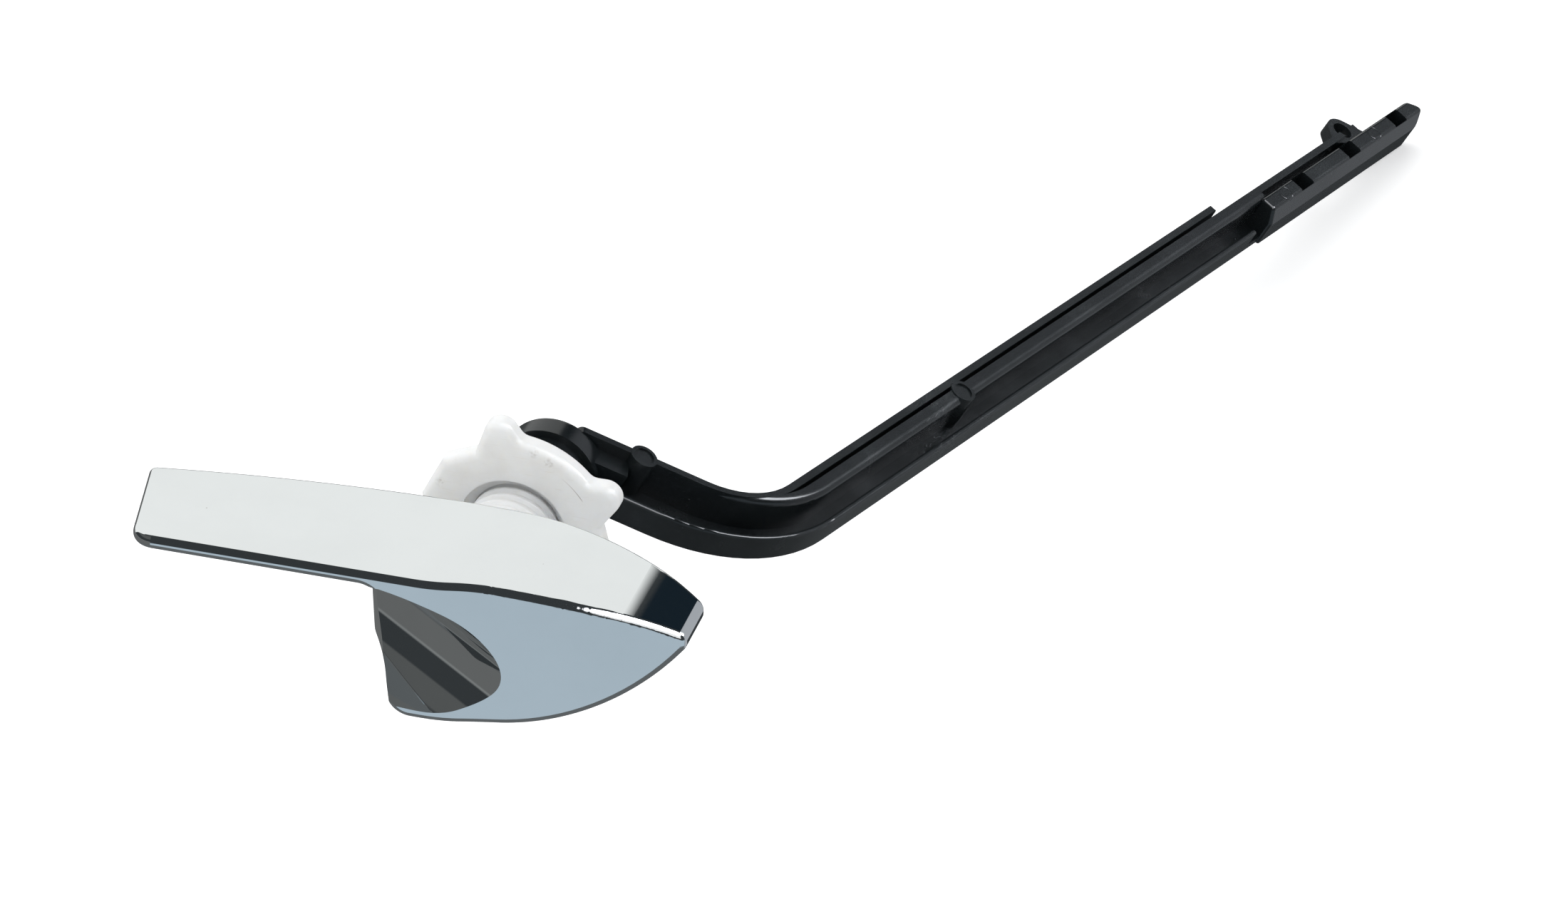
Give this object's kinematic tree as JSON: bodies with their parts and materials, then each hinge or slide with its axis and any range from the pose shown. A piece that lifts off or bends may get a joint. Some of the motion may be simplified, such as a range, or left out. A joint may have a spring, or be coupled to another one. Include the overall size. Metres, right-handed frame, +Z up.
{
  "type": "cistern lever",
  "caption": "Toilet cistern flush lever: chrome paddle handle with a scooped hub, white threaded bush and lugged back nut, and a cranked black arm with hook holes near its end",
  "frame": {"origin": "On the spindle axis, in the plane of the bush flange's wall seat, which is the outer face of the cistern wall", "axes": "+X to the right seen from in front of the cistern, towards the nose of the handle; +Y along the spindle into the cistern; +Z up"},
  "size_m": [0.1657, 0.3218, 0.0777],
  "materials": {
    "chrome": "polished chrome plate on a die casting",
    "white_plastic": "moulded acetal, slightly translucent",
    "black_plastic": "moulded, satin",
    "brass": "turned",
    "steel": "zinc plated"
  },
  "bodies": {
    "bush": {"bush": "white_plastic"},
    "nut": {"nut": "white_plastic"},
    "lever": {"handle": "chrome", "spindle": "brass", "arm": "black_plastic", "arm_washer": "steel", "arm_screw": "steel"}
  },
  "joints": [
    {"name": "lever_turn", "type": "hinge", "parent": "bush", "child": "lever", "pos_m": [0, 0, 0], "axis": [0, -1, 0], "range_deg": [0, 40]},
    {"name": "nut_travel", "type": "slide", "parent": "bush", "child": "nut", "axis": [0, 1, 0], "range_m": [-0.0115, 0.0038]}
  ]
}
